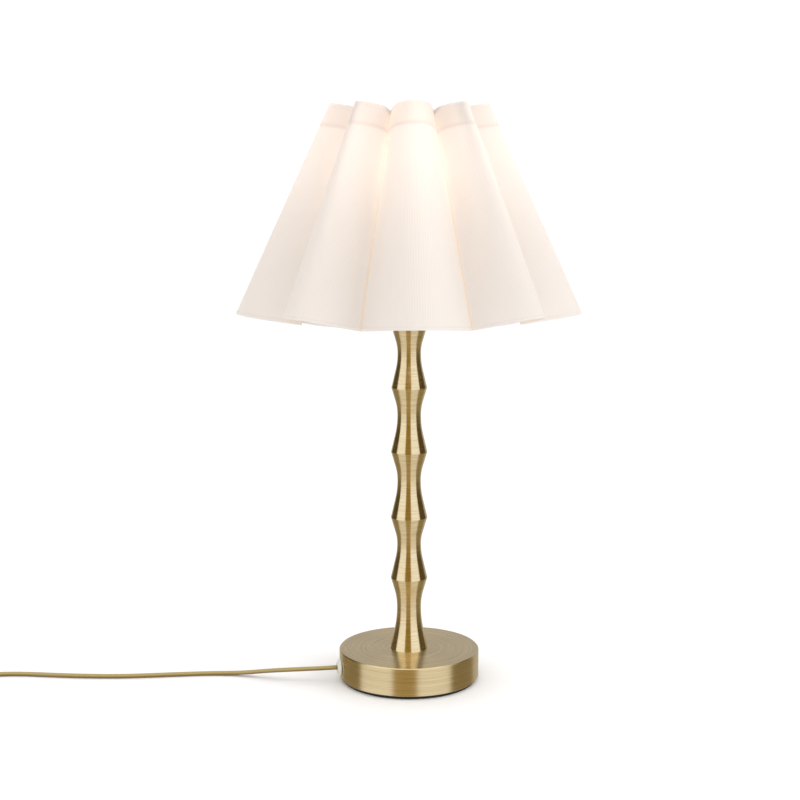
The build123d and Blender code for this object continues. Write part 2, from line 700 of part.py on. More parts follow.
def switch_rocker():
    """The rocker at its 'on' tilt: two flat facets that meet over the pivot."""
    half = ROCKER_LENGTH / 2
    outline = Polyline(
        (-half, 4.6), (0, 3.3), (half, 4.6), (half - 0.6, -1.8), (2.2, -3.2), (-2.2, -3.2), (-half + 0.6, -1.8),
        close=True,
    )
    plane = Plane(origin=(0, 0, 0), x_dir=(0, 1, 0), z_dir=(1, 0, 0))
    body = extrude(plane * make_face(outline), ROCKER_WIDTH / 2, both=True)
    body = fillet(body.edges().filter_by(Axis.X).group_by(Axis.Z)[-1], 0.6)
    pin = rod((-7.2, 0, 0), (1, 0, 0), PIVOT_RADIUS, 14.4)
    tilt = Rot(ROCKER_TILT, 0, 0)
    return Pos(SWITCH_X, SWITCH_Y, ROCKER_PIVOT_Z) * tilt * (body + pin)


def switch_plunger():
    """The sprung contact pin that the rocker carries underneath."""
    pin = Pos(0, 0, -6.4) * extrude(Circle(1.0), 3.2)
    return Pos(SWITCH_X, SWITCH_Y, ROCKER_PIVOT_Z) * Rot(ROCKER_TILT, 0, 0) * pin


def switch_terminals():
    blocks = []
    for end in (-1, 1):
        blocks.append(block((SWITCH_X - 6.5, SWITCH_Y + end * 13.0, 5.0), (5.0, 6.0, 6.8)))
    blocks.append(block((SWITCH_X - 1.5, SWITCH_Y, SWITCH_WALL + 0.4), (4.0, 12.0, 0.8)))
    return group(blocks)


def switch_screws():
    screws = []
    for x, y in switch_screw_spots():
        screw = Pos(x, y, 0.5) * extrude(Circle(2.3), 1.4) + Pos(x, y, 1.9) * extrude(Circle(1.2), 7.0)
        screw -= block((x, y, 0.5), (3.6, 0.7, 1.0))
        screws.append(screw)
    return group(screws)


# --- plug, lying along Y with its pins towards +Y ----------------------------------


def plug_body():
    """A flat two-pin plug: waisted sides, narrow neck for the cord."""
    half = PLUG_WIDTH / 2
    outline = Polyline(
        (-4.2, 0), (4.2, 0), (5.2, 5.0), (8.0, 12.0), (half - 1.4, 20.0), (half, PLUG_LENGTH),
        (-half, PLUG_LENGTH), (-half + 1.4, 20.0), (-8.0, 12.0), (-5.2, 5.0), close=True,
    )
    body = Pos(0, 0, -PLUG_AXIS_Z) * extrude(make_face(outline), 2 * PLUG_AXIS_Z)
    body = fillet(body.edges().filter_by(Axis.Z), 1.6)
    body = fillet(body.edges().group_by(Axis.Z)[0] + body.edges().group_by(Axis.Z)[-1], 1.4)
    return Pos(PLUG_X, PLUG_Y, PLUG_AXIS_Z) * body


def plug_pin_rods(radius, low, high):
    rods = []
    for side in (-1, 1):
        x = PLUG_X + side * PLUG_PIN_PITCH / 2
        rods.append(rod((x, PLUG_Y + PLUG_LENGTH + low, PLUG_AXIS_Z), (0, 1, 0), radius, high - low))
    return rods


def plug_pins():
    bare = plug_pin_rods(PLUG_PIN_RADIUS, PLUG_COLLAR_LENGTH, PLUG_PIN_LENGTH)
    return group([fillet(pin.edges().group_by(Axis.Y)[-1], 1.4) for pin in bare])


def plug_pin_collars():
    return group(plug_pin_rods(PLUG_COLLAR_RADIUS, 0, PLUG_COLLAR_LENGTH))


# --- write the pieces --------------------------------------------------------------


def main():
    pieces = {
        "base_pad": base_pad(),
        "base_cover": base_cover(),
        "base_weight": base_weight(),
        "base_washer": base_washer(),
        "base_nut": base_nut(),
        "threaded_tube": threaded_tube(),
        "cord_grommet": cord_grommet(),
        "cord_clamp": cord_clamp(),
        "clamp_screws": clamp_screws(),
        "cord_inner": cord_inner(),
        "holder_cap": holder_cap(),
        "holder_insert": holder_insert(),
        "terminal_screws": terminal_screws(),
        "holder_wires": holder_wires(),
        "holder_sleeve": holder_sleeve(),
        "contact_shell": contact_shell(),
        "centre_contact": centre_contact(),
        "shade_ring": shade_ring(),
        "bulb_cap": bulb_cap(),
        "bulb_contact": bulb_contact(),
        "bulb_housing": bulb_housing(),
        "led_board": led_board(),
        "bulb_globe": bulb_globe(),
        "shade_sheet": shade_sheet(),
        "shade_top_band": shade_top_band(),
        "shade_fitter": shade_fitter(),
        "shade_legs": shade_legs(),
        "shade_top_ring": shade_top_ring(),
        "shade_bottom_ring": shade_bottom_ring(),
        "cord_to_switch": cord_piece(ROUTE_TO_SWITCH, "cord_to_switch"),
        "cord_to_coil": cord_piece(ROUTE_TO_COIL, "cord_to_coil"),
        "cord_to_plug": cord_piece(ROUTE_TO_PLUG, "cord_to_plug"),
        "cord_coil": cord_coil(),
        "switch_base": switch_base(),
        "switch_cover": switch_cover(),
        "switch_rocker": switch_rocker(),
        "switch_plunger": switch_plunger(),
        "switch_terminals": switch_terminals(),
        "switch_screws": switch_screws(),
        "plug_body": plug_body(),
        "plug_pins": plug_pins(),
        "plug_pin_collars": plug_pin_collars(),
    }
    for index in range(len(SPOOL_LENGTHS)):
        pieces[f"column_spool_{index + 1}"] = column_spool(index)
    os.makedirs("parts", exist_ok=True)
    for name, solid in pieces.items():
        export_step(solid, f"parts/{name}.step")


main()
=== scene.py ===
import json
import math

import bpy
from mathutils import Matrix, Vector

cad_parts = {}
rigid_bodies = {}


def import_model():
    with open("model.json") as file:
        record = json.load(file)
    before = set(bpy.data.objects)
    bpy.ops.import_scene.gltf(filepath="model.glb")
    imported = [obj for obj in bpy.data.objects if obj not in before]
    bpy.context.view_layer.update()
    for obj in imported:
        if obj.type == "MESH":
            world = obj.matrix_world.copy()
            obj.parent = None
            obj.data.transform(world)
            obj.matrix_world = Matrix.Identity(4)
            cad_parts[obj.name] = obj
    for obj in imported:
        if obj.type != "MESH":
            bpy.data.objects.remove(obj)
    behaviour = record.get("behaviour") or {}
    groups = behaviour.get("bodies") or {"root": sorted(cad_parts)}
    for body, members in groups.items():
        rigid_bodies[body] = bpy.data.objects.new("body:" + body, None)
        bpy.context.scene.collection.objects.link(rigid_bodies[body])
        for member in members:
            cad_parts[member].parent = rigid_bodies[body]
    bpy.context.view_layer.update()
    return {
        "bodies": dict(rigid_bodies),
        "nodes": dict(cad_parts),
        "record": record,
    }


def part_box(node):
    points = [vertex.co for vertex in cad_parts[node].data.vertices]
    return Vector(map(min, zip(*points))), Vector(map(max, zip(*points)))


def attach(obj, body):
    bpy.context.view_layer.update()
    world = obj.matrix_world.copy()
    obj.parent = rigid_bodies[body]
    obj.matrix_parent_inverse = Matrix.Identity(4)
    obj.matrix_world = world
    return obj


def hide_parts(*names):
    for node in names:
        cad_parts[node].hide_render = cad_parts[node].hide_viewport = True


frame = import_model()
nodes = frame["nodes"]

# Looks of a table lamp: brushed brass disc base, waisted brass spools, a lit white
# fluted shade and a flat gold cord. Metres and radians; the front is -Y.

# --- camera, floor and light ---------------------------------------------------------

CAMERA_LENS = 68.79
CAMERA_PLACE = (-0.0081, -1.3291, 0.4503)
CAMERA_PITCH = math.radians(8.454)
FLOOR_HALF = 12.0


def add_camera():
    data = bpy.data.cameras.new("camera")
    data.lens = CAMERA_LENS
    data.clip_start = 0.01
    camera = bpy.data.objects.new("camera", data)
    camera.location = CAMERA_PLACE
    camera.rotation_euler = (math.pi / 2 - CAMERA_PITCH, 0, 0)
    bpy.context.collection.objects.link(camera)
    bpy.context.scene.camera = camera


# --- short calls for meshes and materials --------------------------------------------


def new_piece(name, vertices, faces, material):
    mesh = bpy.data.meshes.new(name)
    mesh.from_pydata(vertices, [], faces)
    mesh.polygons.foreach_set("use_smooth", [True] * len(mesh.polygons))
    mesh.materials.append(material)
    piece = bpy.data.objects.new(name, mesh)
    bpy.context.collection.objects.link(piece)
    return piece


def new_tree(material):
    material.use_nodes = True
    material.node_tree.nodes.clear()
    return material.node_tree


def add(tree, kind, inputs=None, **settings):
    """A node with its settings, and its inputs from values or other nodes' sockets."""
    node = tree.nodes.new("ShaderNode" + kind)
    for key, value in settings.items():
        setattr(node, key, value)
    for key, value in (inputs or {}).items():
        if isinstance(value, bpy.types.NodeSocket):
            tree.links.new(value, node.inputs[key])
        else:
            node.inputs[key].default_value = value
    return node


def math_node(tree, operation, first, second=0.0):
    return add(tree, "Math", {0: first, 1: second}, operation=operation).outputs[0]


def ramp(tree, factor, stops, interpolation="LINEAR"):
    """A colour ramp from (place, colour) stops."""
    node = add(tree, "ValToRGB", {"Fac": factor})
    node.color_ramp.interpolation = interpolation
    elements = node.color_ramp.elements
    while len(elements) < len(stops):
        elements.new(1.0)
    for element, (place, colour) in zip(elements, stops):
        element.position = place
        element.color = (*colour, 1.0)
    return node.outputs["Color"]


def grey(value):
    return (value, value, value)


def remap(tree, value, low, high):
    """A 0..1 value stretched between two numbers."""
    node = add(tree, "MapRange", {"Value": value, "To Min": low, "To Max": high})
    return node.outputs["Result"]


def within(tree, value, start, end, high=1.0):
    """0 at start and high at end, straight between them and level past them."""
    node = add(tree, "MapRange", {
        "Value": value, "From Min": start, "From Max": end, "To Max": high,
    })
    return node.outputs["Result"]


def noise(tree, vector, scale, detail=3.0):
    return add(tree, "TexNoise", {"Vector": vector, "Scale": scale, "Detail": detail}).outputs["Fac"]


def mix_colours(tree, factor, first, second):
    node = add(tree, "MixRGB", {"Fac": factor, "Color1": first, "Color2": second})
    return node.outputs["Color"]


def bump(tree, height, strength, distance):
    node = add(tree, "Bump", {"Height": height, "Strength": strength, "Distance": distance})
    return node.outputs["Normal"]


def finish_material(tree, shader):
    add(tree, "OutputMaterial", {"Surface": shader})


def rgba(colour):
    return (*colour, 1.0)


# --- world and lights ----------------------------------------------------------------

# what a reflection meets, from straight in front (0) round to straight behind (1);
# the studio is invented, and turned by STUDIO_TURN so that the bands suit the photograph
FRONT_TONE = (0.34, 0.23, 0.05)
PANEL_TONE = (1.16, 1.22, 1.38)
SIDE_TONE = (0.10, 0.075, 0.03)
BEHIND_TONE = (0.52, 0.51, 0.50)
TABLE_TONE = (0.55, 0.47, 0.30)
CEILING_TONE = (1.25, 1.25, 1.20)
SIDE_BANDS = (
    (0.00, FRONT_TONE), (0.085, FRONT_TONE), (0.14, PANEL_TONE), (0.41, PANEL_TONE),
    (0.47, SIDE_TONE), (0.72, SIDE_TONE), (0.80, BEHIND_TONE), (1.00, BEHIND_TONE),
)
STUDIO_TURN = 0.12
WORLD_STRENGTH = 1.07
# how far up or down a reflection points (Z of its direction) where the tones change
TABLE_FROM, TABLE_FULL, TABLE_SHARE = 0.0, -0.3, 0.5
CEILING_FROM, CEILING_FULL = 0.62, 0.85


def add_world():
    """Even white light, with an invented studio that reflections alone see."""
    world = bpy.data.worlds.new("studio")
    bpy.context.scene.world = world
    tree = new_tree(world)
    direction = add(tree, "TexCoord").outputs["Generated"]
    xyz = add(tree, "SeparateXYZ", {0: direction})
    behind = math_node(tree, "MULTIPLY", xyz.outputs["Y"], -1.0)
    azimuth = math_node(tree, "ARCTAN2", xyz.outputs["X"], behind)
    turned = math_node(tree, "ABSOLUTE", math_node(tree, "ADD", azimuth, STUDIO_TURN))
    turn = math_node(tree, "DIVIDE", turned, math.pi)
    bands = ramp(tree, turn, SIDE_BANDS, "EASE")
    below = within(tree, xyz.outputs["Z"], TABLE_FROM, TABLE_FULL, TABLE_SHARE)
    softened = mix_colours(tree, below, bands, rgba(TABLE_TONE))
    above = within(tree, xyz.outputs["Z"], CEILING_FROM, CEILING_FULL)
    softened = mix_colours(tree, above, softened, rgba(CEILING_TONE))
    studio = add(tree, "Background", {"Color": softened, "Strength": 1.0})
    even = add(tree, "Background", {"Color": rgba(grey(1.0)), "Strength": WORLD_STRENGTH})
    is_glossy = add(tree, "LightPath").outputs["Is Glossy Ray"]
    both = add(tree, "MixShader", {0: is_glossy, 1: even.outputs[0], 2: studio.outputs[0]})
    add(tree, "OutputWorld", {"Surface": both.outputs[0]})
    # sampled as a light, the sky would mix its even white into the reflections
    world.cycles.sampling_method = "NONE"


KEY_PLACE = (2.0, -0.9, 1.7)
KEY_SIZE = 1.6
KEY_POWER = 14.0
AIM_HEIGHT = 0.2
FLOOR_TONE = 0.97


def add_area_light(name, place, size, power):
    """A soft panel that points at the lamp's axis and stays out of reflections."""
    data = bpy.data.lights.new(name, "AREA")
    data.shape = "DISK"
    data.size = size
    data.energy = power
    light = bpy.data.objects.new(name, data)
    light.location = place
    aim = Vector((0, 0, AIM_HEIGHT)) - Vector(place)
    light.rotation_euler = aim.to_track_quat("-Z", "Y").to_euler()
    light.visible_camera = False
    light.visible_glossy = False
    bpy.context.collection.objects.link(light)


def add_floor():
    corners = [(-FLOOR_HALF, -FLOOR_HALF, 0), (FLOOR_HALF, -FLOOR_HALF, 0),
               (FLOOR_HALF, FLOOR_HALF, 0), (-FLOOR_HALF, FLOOR_HALF, 0)]
    material = bpy.data.materials.new("floor")
    tree = new_tree(material)
    shader = add(tree, "BsdfPrincipled", {"Base Color": rgba(grey(FLOOR_TONE)), "Roughness": 0.9})
    finish_material(tree, shader.outputs[0])
    floor = new_piece("floor", corners, [(0, 1, 2, 3)], material)
    floor.visible_glossy = False


# --- metals --------------------------------------------------------------------------


RING_DRIFT = 0.0008
PATINA_TONE = (0.36, 0.24, 0.10)
PATINA_SHARE = 0.12
BRASS_LINE_DEPTH = 0.00003


def turned_coordinates(tree, around):
    """(radius, height, a little of the angle): noise in it runs in rings round Z."""
    place = add(tree, "TexCoord").outputs["Object"]
    xyz = add(tree, "SeparateXYZ", {0: place})
    flat = add(tree, "CombineXYZ", {0: xyz.outputs["X"], 1: xyz.outputs["Y"]})
    radius = add(tree, "VectorMath", {0: flat.outputs[0]}, operation="LENGTH").outputs["Value"]
    angle = math_node(tree, "ARCTAN2", xyz.outputs["Y"], xyz.outputs["X"])
    third = math_node(tree, "MULTIPLY", angle, around)
    return add(tree, "CombineXYZ", {0: radius, 1: xyz.outputs["Z"], 2: third}).outputs[0]


def brushed_brass(name, low, high, roughness, line_depth):
    """Antique brass with fine lines that run round the lamp's axis."""
    material = bpy.data.materials.new(name)
    tree = new_tree(material)
    rings = turned_coordinates(tree, RING_DRIFT)
    fine = noise(tree, rings, 2600.0, 2.0)
    broad = noise(tree, rings, 620.0, 4.0)
    patina = noise(tree, add(tree, "TexCoord").outputs["Object"], 28.0, 5.0)
    lines = mix_colours(tree, 0.5, fine, broad)
    drawn = within(tree, lines, 0.22, 0.78)
    tone = mix_colours(tree, drawn, rgba(low), rgba(high))
    tone = mix_colours(tree, remap(tree, patina, 0.0, PATINA_SHARE), tone, rgba(PATINA_TONE))
    shader = add(tree, "BsdfPrincipled", {
        "Base Color": tone,
        "Metallic": 1.0,
        "Roughness": remap(tree, lines, roughness - 0.06, roughness + 0.08),
        "Anisotropic": 0.85,
        "Anisotropic Rotation": 0.25,
        "Tangent": add(tree, "Tangent", direction_type="RADIAL", axis="Z").outputs[0],
        "Normal": bump(tree, lines, 0.35, line_depth),
        "Coat Weight": 0.25,
        "Coat Roughness": 0.12,
    })
    finish_material(tree, shader.outputs[0])
    return material


def plain_metal(name, colour, roughness, grain):
    """A plated, rolled or cast metal with a fine uneven grain."""
    material = bpy.data.materials.new(name)
    tree = new_tree(material)
    place = add(tree, "TexCoord").outputs["Object"]
    fine = noise(tree, place, grain, 5.0)
    broad = noise(tree, place, grain * 0.06, 3.0)
    darker = tuple(0.72 * c for c in colour)
    shader = add(tree, "BsdfPrincipled", {
        "Base Color": mix_colours(tree, broad, rgba(darker), rgba(colour)),
        "Metallic": 1.0,
        "Roughness": remap(tree, fine, roughness - 0.08, roughness + 0.12),
        "Normal": bump(tree, fine, 0.25, 0.0002),
    })
    finish_material(tree, shader.outputs[0])
    return material


# --- plastics and other plain surfaces -----------------------------------------------


def moulded(name, colour, roughness, grain, coat=0.0, glow=0.0):
    """Moulded plastic, rubber or glaze: soft tone changes and a fine moulded grain."""
    material = bpy.data.materials.new(name)
    tree = new_tree(material)
    place = add(tree, "TexCoord").outputs["Object"]
    fine = noise(tree, place, grain, 4.0)
    broad = noise(tree, place, grain * 0.05, 2.0)
    darker = tuple(0.86 * c for c in colour)
    shader = add(tree, "BsdfPrincipled", {
        "Base Color": mix_colours(tree, broad, rgba(darker), rgba(colour)),
        "Roughness": remap(tree, fine, roughness - 0.06, roughness + 0.10),
        "Normal": bump(tree, fine, 0.2, 0.0002),
        "Coat Weight": coat,
        "Coat Roughness": 0.08,
        "Subsurface Weight": glow,
        "Subsurface Radius": (0.002, 0.0015, 0.0008),
        "Subsurface Scale": 1.0,
    })
    finish_material(tree, shader.outputs[0])
    return material


def tinted_plastic_painted_shade(name):
    """Gold-tinted clear plastic over copper; painted shade makes it olive facing up, brown facing down.
    """
    material = bpy.data.materials.new(name)
    tree = new_tree(material)
    place = add(tree, "TexCoord").outputs["Object"]
    twist = noise(tree, place, 240.0, 3.0)
    skin = noise(tree, place, 1500.0, 3.0)
    # painted shade: the colour runs from brown where the surface faces down to olive where it faces up
    facing_for_painted_shade = add(tree, "SeparateXYZ", {0: add(tree, "NewGeometry").outputs["Normal"]}).outputs["Z"]
    side = within(tree, facing_for_painted_shade, -0.35, 0.55)
    tone = mix_colours(tree, side, rgba((0.16, 0.085, 0.022)), rgba((0.42, 0.32, 0.085)))
    tone = mix_colours(tree, remap(tree, twist, 0.0, 0.35), tone, rgba((0.30, 0.17, 0.05)))
    shader = add(tree, "BsdfPrincipled", {
        "Base Color": tone,
        "Roughness": remap(tree, skin, 0.22, 0.38),
        "Coat Weight": 0.6,
        "Coat Roughness": 0.1,
        "Normal": bump(tree, skin, 0.12, 0.0001),
    })
    finish_material(tree, shader.outputs[0])
    return material


def opal_globe(name):
    """The lit opal bulb, warmer at its rim.

    The rim is found with Layer Weight, so this tint follows the camera, which the work's
    rules don't allow for a colour. It is known and left; the cure is one constant colour.
    """
    material = bpy.data.materials.new(name)
    tree = new_tree(material)
    rim = add(tree, "LayerWeight", {"Blend": 0.35}).outputs["Facing"]
    haze = noise(tree, add(tree, "TexCoord").outputs["Object"], 60.0, 2.0)
    glow = ramp(tree, rim, ((0.0, (1.0, 0.86, 0.66)), (1.0, (1.0, 0.70, 0.42))))
    shader = add(tree, "BsdfPrincipled", {
        "Base Color": rgba((0.42, 0.40, 0.37)),
        "Roughness": remap(tree, haze, 0.22, 0.30),
        "Emission Color": glow,
        "Emission Strength": 0.65,
    })
    finish_material(tree, shader.outputs[0])
    material.cycles.emission_sampling = "NONE"
    return material


# --- shade ---------------------------------------------------------------------------

# eight flutes between valleys; angles in degrees from the front, positive to the right
VALLEY_ANGLES = (-113.0, -64.7, -23.3, 29.9, 68.5, 113.0, 156.0, 203.0)
FLUTES = len(VALLEY_ANGLES)
FLUTE_POWER = 1.45
DOME_POWER = 0.42
HEM_VALLEY = (0.1019, 0.3229)
HEM_SIDE, HEM_DIAGONAL, HEM_FRONT = 0.1508, 0.1417, 0.1462
TOP_VALLEY = (0.0402, 0.5006)
TOP_CREST_Z = 0.5091
TOP_SIDE, TOP_DIAGONAL, TOP_FRONT = 0.0683, 0.0623, 0.0644
HEM_SIDE_Z, HEM_DIAGONAL_Z, HEM_FRONT_Z = 0.3292, 0.3335, 0.3290
# (radius, height) of each flute's crest; the back repeats the front
HEM_CRESTS = 2 * (
    (HEM_SIDE, HEM_SIDE_Z), (HEM_DIAGONAL, HEM_DIAGONAL_Z),
    (HEM_FRONT, HEM_FRONT_Z), (HEM_DIAGONAL, HEM_DIAGONAL_Z),
)
TOP_CRESTS = 2 * (
    (TOP_SIDE, TOP_CREST_Z), (TOP_DIAGONAL, TOP_CREST_Z),
    (TOP_FRONT, TOP_CREST_Z), (TOP_DIAGONAL, TOP_CREST_Z),
)
CREST_WALL, VALLEY_WALL = 0.0009, 0.0013
FLUTE_COLUMNS = 30
SHADE_ROWS = 36
HEM_FOLD = 0.0028
FOLD_STEP = 0.16
FOLD_EDGE = 0.06
EDGE_ROUND = 0.0007
CLOTH_THICK = 0.62
BAND_HEIGHT = 0.019
BAND_DEPTHS = (1.17, 1.72)
SLOPE_LENGTH = 0.197
RIB_PITCH = 0.0021
VALLEY_LINE_HALF = 0.0011
BAND_TOP = 0.996
BAND_LOW = BAND_TOP * SLOPE_LENGTH - BAND_HEIGHT


def shade_point(flute, step, depth, up):
    """A point of the shade: step 0..1 from valley to valley, depth in wall thicknesses."""
    start = VALLEY_ANGLES[flute]
    end = VALLEY_ANGLES[(flute + 1) % FLUTES]
    if end < start:
        end += 360
    angle = math.radians(start + (end - start) * step)
    bulge = math.sin(math.pi * step) ** FLUTE_POWER if 0 < step < 1 else 0.0
    dome = bulge ** DOME_POWER
    ends = []
    for valley, (crest_radius, crest_z), lift in (
        (HEM_VALLEY, HEM_CRESTS[flute], bulge), (TOP_VALLEY, TOP_CRESTS[flute], dome),
    ):
        inner = valley[0] - depth * VALLEY_WALL
        outer = crest_radius - depth * CREST_WALL
        ends.append((inner + (outer - inner) * bulge, valley[1] + (crest_z - valley[1]) * lift))
    radius = ends[0][0] + (ends[1][0] - ends[0][0]) * up
    height = ends[0][1] + (ends[1][1] - ends[0][1]) * up
    return Vector((radius * math.sin(angle), -radius * math.cos(angle), height))


def wall_profile(outer, inner, low, high, fold):
    """(depth, up) pairs round a strip of the shade's wall, with a folded edge at both ends."""
    fold_up = HEM_FOLD / SLOPE_LENGTH
    ups = [low + (high - low) * k / SHADE_ROWS for k in range(1, SHADE_ROWS)]
    for edge in (low + fold_up, high - fold_up):
        ups += [edge - FOLD_EDGE * fold_up, edge + FOLD_EDGE * fold_up] if fold else []
    ups = sorted(ups)
    folded = [u < low + fold_up or u > high - fold_up for u in ups]
    skin = [outer if not fold or turned else outer + FOLD_STEP for turned in folded]
    middle = (outer + inner) / 2
    soft = EDGE_ROUND / SLOPE_LENGTH
    hem = [
        (inner * 0.8 + outer * 0.2, low + 0.2 * soft),
        (middle, low),
        (outer * 0.8 + inner * 0.2, low + 0.2 * soft),
    ]
    rim = [(d, low + high - u) for d, u in reversed(hem)]
    outside = [(outer, low + soft)] + list(zip(skin, ups)) + [(outer, high - soft)]
    inside = [(inner, high - soft)] + [(inner, u) for u in reversed(ups)] + [(inner, low + soft)]
    return hem + outside + rim + inside


def walked_along(vertices, deep):
    """For each flute and profile row: metres along the cloth from the flute's crest."""
    across = FLUTES * FLUTE_COLUMNS
    table = []
    for flute in range(FLUTES):
        columns = [(flute * FLUTE_COLUMNS + k) % across for k in range(FLUTE_COLUMNS + 1)]
        rows = []
        for row in range(deep):
            walked = [0.0]
            for one, two in zip(columns, columns[1:]):
                step = vertices[two * deep + row] - vertices[one * deep + row]
                walked.append(walked[-1] + step.length)
            rows.append([w - walked[-1] / 2 for w in walked])
        table.append(rows)
    return table


def shade_wall(name, profile, outside, inside):
    """A closed fluted wall; its map holds metres along and up the cloth."""
    steps = [0.5 - 0.5 * math.cos(math.pi * k / FLUTE_COLUMNS) for k in range(FLUTE_COLUMNS)]
    columns = [(flute, step) for flute in range(FLUTES) for step in steps]
    across, deep = len(columns), len(profile)
    vertices = [shade_point(flute, step, depth, up) for flute, step in columns for depth, up in profile]
    faces = []
    for column in range(across):
        beside = (column + 1) % across
        for row in range(deep):
            above = (row + 1) % deep
            faces.append((
                column * deep + row, beside * deep + row,
                beside * deep + above, column * deep + above,
            ))
    piece = new_piece(name, vertices, faces, outside)
    mesh = piece.data
    mesh.materials.append(inside)
    walked = walked_along(vertices, deep)
    middle = (max(depth for depth, _ in profile) + min(depth for depth, _ in profile)) / 2
    cloth = mesh.uv_layers.new(name="cloth")
    valley_line = mesh.attributes.new("valley_line", "FLOAT", "POINT")
    for column in range(across):
        flute, k = divmod(column, FLUTE_COLUMNS)
        for row in range(deep):
            along = walked[flute][row]
            to_valley = along[-1] - abs(along[k])
            valley_line.data[column * deep + row].value = max(0.0, 1.0 - to_valley / VALLEY_LINE_HALF)
            above = (row + 1) % deep
            polygon = mesh.polygons[column * deep + row]
            corners = ((k, row), (k + 1, row), (k + 1, above), (k, above))
            for loop, (at, level) in zip(polygon.loop_indices, corners):
                cloth.data[loop].uv = (walked[flute][level][at], profile[level][1] * SLOPE_LENGTH)
            polygon.material_index = int(profile[row][0] + profile[above][0] > 2 * middle)
    return piece


CLOTH_LETS_THROUGH = 0.45
SLUB_SCALE = (900.0, 45.0, 1.0)
WEAVE_SCALE = (3200.0, 2600.0, 1.0)
# metres from the fold's or the band's edge where its painted line of shade starts and is full
FOLD_SHADE_LINE = (0.0007, 0.0002)
BAND_SHADOW_LINE = (0.0024, 0.0004)
BAND_SHADOW_SHARE = 0.5


def scaled_noise(tree, vector, scale, detail):
    """Noise whose grain is stretched differently along and up the cloth."""
    mapping = add(tree, "Mapping", {"Vector": vector, "Scale": scale})
    return noise(tree, mapping.outputs[0], 1.0, detail)


def distance_to(tree, value, place):
    return math_node(tree, "ABSOLUTE", math_node(tree, "SUBTRACT", value, place))


def cloth_material(name, see_through=None):
    """Ribbed white cloth on clear film, lit from behind.

    see_through tints the lamp's light on its way through an inner layer, and paints a warm glow of lamp
    light on that layer's face.
    """
    material = bpy.data.materials.new(name)
    tree = new_tree(material)
    cloth = add(tree, "UVMap", uv_map="cloth").outputs[0]
    along = add(tree, "SeparateXYZ", {0: cloth})
    wave = math_node(tree, "SINE", math_node(tree, "MULTIPLY", along.outputs["X"], math.tau / RIB_PITCH))
    slubs = scaled_noise(tree, cloth, SLUB_SCALE, 3.0)
    weave = scaled_noise(tree, cloth, WEAVE_SCALE, 2.0)
    ribs = within(tree, wave, -1.0, 1.0)
    thread = mix_colours(tree, 0.45, ribs, slubs)
    valley_line = add(tree, "Attribute", attribute_name="valley_line").outputs["Fac"]
    fold = within(tree, distance_to(tree, along.outputs["Y"], HEM_FOLD), *FOLD_SHADE_LINE)
    face = mix_colours(tree, thread, rgba((0.80, 0.795, 0.79)), rgba((0.85, 0.845, 0.84)))
    # painted shade: a darker line on the face along the hem fold's edge
    face = mix_colours(tree, math_node(tree, "MULTIPLY", fold, 0.2), face, rgba((0.62, 0.56, 0.52)))
    # along each valley the face is tinted darker and warmer
    face = mix_colours(tree, math_node(tree, "MULTIPLY", valley_line, 0.6), face, rgba((0.84, 0.70, 0.52)))
    # painted light: an inner layer's face is tinted warm, the lamp's glow on the shade's inside painted
    # on
    if see_through:
        face = mix_colours(tree, 0.35, face, rgba((0.96, 0.74, 0.50)))
    back = mix_colours(tree, thread, rgba((0.94, 0.88, 0.82)), rgba((1.0, 0.95, 0.91)))
    # and along each valley the light let through is warmer
    back = mix_colours(tree, valley_line, back, rgba((1.0, 0.80, 0.58)))
    # painted shadow: the light let through is darker along the inner band's lower edge
    from_band = distance_to(tree, along.outputs["Y"], BAND_LOW)
    painted_band_shadow = within(tree, from_band, *BAND_SHADOW_LINE, BAND_SHADOW_SHARE)
    back = mix_colours(tree, painted_band_shadow, back, rgba((0.78, 0.66, 0.58)))
    height = mix_colours(tree, 0.25, thread, weave)
    normal = bump(tree, height, 0.20, 0.00020)
    front = add(tree, "BsdfPrincipled", {
        "Base Color": face, "Roughness": remap(tree, weave, 0.62, 0.80), "Normal": normal,
        "Sheen Weight": 0.15, "Sheen Roughness": 0.5,
    })
    through = add(tree, "BsdfTranslucent", {"Color": back, "Normal": normal})
    shader = add(tree, "MixShader", {0: CLOTH_LETS_THROUGH, 1: front.outputs[0], 2: through.outputs[0]})
    if see_through:
        clear = add(tree, "BsdfTransparent", {"Color": rgba(see_through)})
        is_shadow = add(tree, "LightPath").outputs["Is Shadow Ray"]
        shader = add(tree, "MixShader", {0: is_shadow, 1: shader.outputs[0], 2: clear.outputs[0]})
    finish_material(tree, shader.outputs[0])
    return material


def add_shade():
    outer = cloth_material("shade_cloth_outer")
    lining = cloth_material("shade_cloth_lining", (0.96, 0.92, 0.88))
    cloth = shade_wall("shade_cloth", wall_profile(0.0, CLOTH_THICK, 0.0, 1.0, True), outer, lining)
    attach(cloth, "shade")
    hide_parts("shade_sheet")
    strip = cloth_material("shade_band_cloth", (1.0, 0.98, 0.96))
    band = shade_wall(
        "shade_band", wall_profile(*BAND_DEPTHS, BAND_LOW / SLOPE_LENGTH, BAND_TOP, False), strip, strip,
    )
    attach(band, "shade")
    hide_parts("shade_top_band")


LAMP_COLOUR = (1.0, 0.91, 0.86)
LAMP_POWER = 0.095
LAMP_SIZE = 0.005


